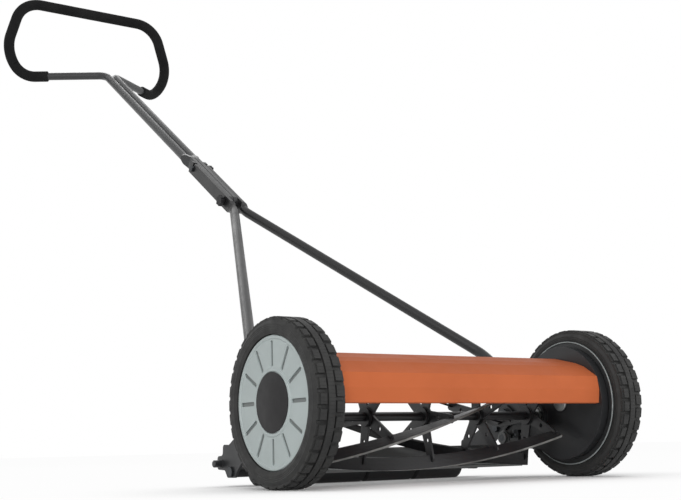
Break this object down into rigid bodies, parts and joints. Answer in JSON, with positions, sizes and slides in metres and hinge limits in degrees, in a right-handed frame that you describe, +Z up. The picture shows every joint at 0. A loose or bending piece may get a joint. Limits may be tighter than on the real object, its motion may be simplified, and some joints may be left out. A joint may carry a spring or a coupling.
{
  "type": "push reel mower",
  "caption": "Push reel mower: geared wheels drive a helical blade reel against a bed knife, under a creased deflector, with a segmented rear roller and a folding loop handle.",
  "frame": {"origin": "centre of the bounding box in X and Y, on the ground plane", "axes": "+X along the wheel axles to the right, -Y the way the mower travels, the handle rises towards +Y, +Z up"},
  "size_m": [0.5442, 1.3333, 1.0488],
  "materials": {
    "plate": "satin black",
    "steel": "zinc plated",
    "cover": "satin orange",
    "tyre": "matte",
    "bolt": "black zinc",
    "wheel": "satin black",
    "trim": "satin silver grey",
    "cap": "satin dark grey",
    "bush": "matte",
    "gear": "oiled",
    "reel": "satin black",
    "knife": "dark ground steel",
    "bar": "satin dark grey",
    "roller": "matte black",
    "low_tube": "semi-gloss black",
    "stem": "semi-gloss grey",
    "foam": "soft foam",
    "knob": "matte black"
  },
  "bodies": {
    "chassis": {"side_plate_left": "plate", "side_plate_right": "plate", "stub_axle_left": "steel", "stub_axle_right": "steel", "axle_clips": "steel", "front_tie_rod": "plate", "tie_rod_nuts": "bolt", "front_cover": "cover", "cover_bolts": "bolt", "bearing_outer_rings": "steel", "bearing_balls": "steel", "knife_pivot_pins": "bolt", "knife_adjust_screws": "bolt", "handle_pins": "bolt", "roller_arm_bolts": "bolt"},
    "wheel_left": {"tyre_left": "tyre", "wheel_left": "wheel", "trim_disc_left": "trim", "hub_cap_left": "cap", "wheel_bush_left": "bush"},
    "wheel_right": {"tyre_right": "tyre", "wheel_right": "wheel", "trim_disc_right": "trim", "hub_cap_right": "cap", "wheel_bush_right": "bush"},
    "pinion_left": {"pinion_left": "gear"},
    "pinion_right": {"pinion_right": "gear"},
    "reel": {"reel_shaft": "reel", "spider_1": "reel", "spider_2": "reel", "spider_3": "reel", "spider_4": "reel", "spider_5": "reel", "reel_blades": "reel", "bearing_inner_rings": "steel", "ratchet_keys": "gear", "shaft_clips": "steel"},
    "knife_bar": {"knife_carrier": "bar", "bed_knife": "knife", "knife_rivets": "steel"},
    "roller_frame": {"roller_arm_left": "plate", "roller_arm_right": "plate", "clamp_bolts": "bolt", "roller_shaft": "bolt", "roller_spacers": "roller", "catcher_rod": "plate"},
    "roller_1": {"roller_1": "roller"},
    "roller_2": {"roller_2": "roller"},
    "roller_3": {"roller_3": "roller"},
    "roller_4": {"roller_4": "roller"},
    "height_knob_left": {"height_knob_left": "knob"},
    "height_knob_right": {"height_knob_right": "knob"},
    "lower_handle": {"lower_tube_left": "low_tube", "lower_tube_right": "low_tube", "fold_bolt_pin": "bolt"},
    "upper_handle": {"upper_handle": "stem", "foam_grip": "foam", "lock_bolt_pin": "bolt"},
    "fold_knob": {"fold_knob": "knob"},
    "lock_knob": {"lock_knob": "knob"}
  },
  "joints": [
    {"name": "reel_spin", "type": "hinge", "parent": "chassis", "child": "reel", "pos_m": [0, -0.51656, 0.0885], "axis": [1, 0, 0], "continuous": true},
    {"name": "wheel_left_spin", "type": "hinge", "parent": "chassis", "child": "wheel_left", "pos_m": [-0.251, -0.56163, 0.105], "axis": [1, 0, 0], "continuous": true},
    {"name": "pinion_left_spin", "type": "hinge", "parent": "chassis", "child": "pinion_left", "pos_m": [-0.244, -0.51656, 0.0885], "axis": [1, 0, 0], "continuous": true},
    {"name": "wheel_right_spin", "type": "hinge", "parent": "chassis", "child": "wheel_right", "pos_m": [0.251, -0.56163, 0.105], "axis": [1, 0, 0], "continuous": true},
    {"name": "pinion_right_spin", "type": "hinge", "parent": "chassis", "child": "pinion_right", "pos_m": [0.244, -0.51656, 0.0885], "axis": [1, 0, 0], "continuous": true},
    {"name": "knife_adjust", "type": "hinge", "parent": "chassis", "child": "knife_bar", "pos_m": [0, -0.44963, 0.058], "axis": [1, 0, 0], "range_deg": [0, 1.5]},
    {"name": "height_adjust", "type": "hinge", "parent": "chassis", "child": "roller_frame", "pos_m": [0, -0.44963, 0.092], "axis": [1, 0, 0], "range_deg": [-8, 8]},
    {"name": "roller_1_spin", "type": "hinge", "parent": "roller_frame", "child": "roller_1", "pos_m": [-0.135, -0.36463, 0.02], "axis": [1, 0, 0], "continuous": true},
    {"name": "roller_2_spin", "type": "hinge", "parent": "roller_frame", "child": "roller_2", "pos_m": [-0.045, -0.36463, 0.02], "axis": [1, 0, 0], "continuous": true},
    {"name": "roller_3_spin", "type": "hinge", "parent": "roller_frame", "child": "roller_3", "pos_m": [0.045, -0.36463, 0.02], "axis": [1, 0, 0], "continuous": true},
    {"name": "roller_4_spin", "type": "hinge", "parent": "roller_frame", "child": "roller_4", "pos_m": [0.135, -0.36463, 0.02], "axis": [1, 0, 0], "continuous": true},
    {"name": "height_knob_left_turn", "type": "hinge", "parent": "roller_frame", "child": "height_knob_left", "pos_m": [-0.229, -0.42663, 0.0725], "axis": [-1, 0, 0], "range_deg": [0, 1080]},
    {"name": "height_knob_right_turn", "type": "hinge", "parent": "roller_frame", "child": "height_knob_right", "pos_m": [0.229, -0.42663, 0.0725], "axis": [1, 0, 0], "range_deg": [0, 1080]},
    {"name": "handle_tilt", "type": "hinge", "parent": "chassis", "child": "lower_handle", "pos_m": [0, -0.49163, 0.1263], "axis": [1, 0, 0], "range_deg": [0, 60]},
    {"name": "handle_fold", "type": "hinge", "parent": "lower_handle", "child": "upper_handle", "pos_m": [0, 0.01212, 0.4843], "axis": [1, 0, 0], "range_deg": [0, 125]},
    {"name": "fold_knob_turn", "type": "hinge", "parent": "lower_handle", "child": "fold_knob", "pos_m": [-0.02, 0.01212, 0.4843], "axis": [-1, 0, 0], "range_deg": [0, 1080]},
    {"name": "lock_knob_turn", "type": "hinge", "parent": "upper_handle", "child": "lock_knob", "pos_m": [0.02, 0.12786, 0.56655], "axis": [1, 0, 0], "range_deg": [0, 1080]}
  ],
  "couplings": [
    {"joint": "wheel_left_spin", "follows": "reel_spin", "ratio": 0.2},
    {"joint": "pinion_left_spin", "follows": "reel_spin", "ratio": 1},
    {"joint": "pinion_right_spin", "follows": "wheel_right_spin", "ratio": 5}
  ]
}
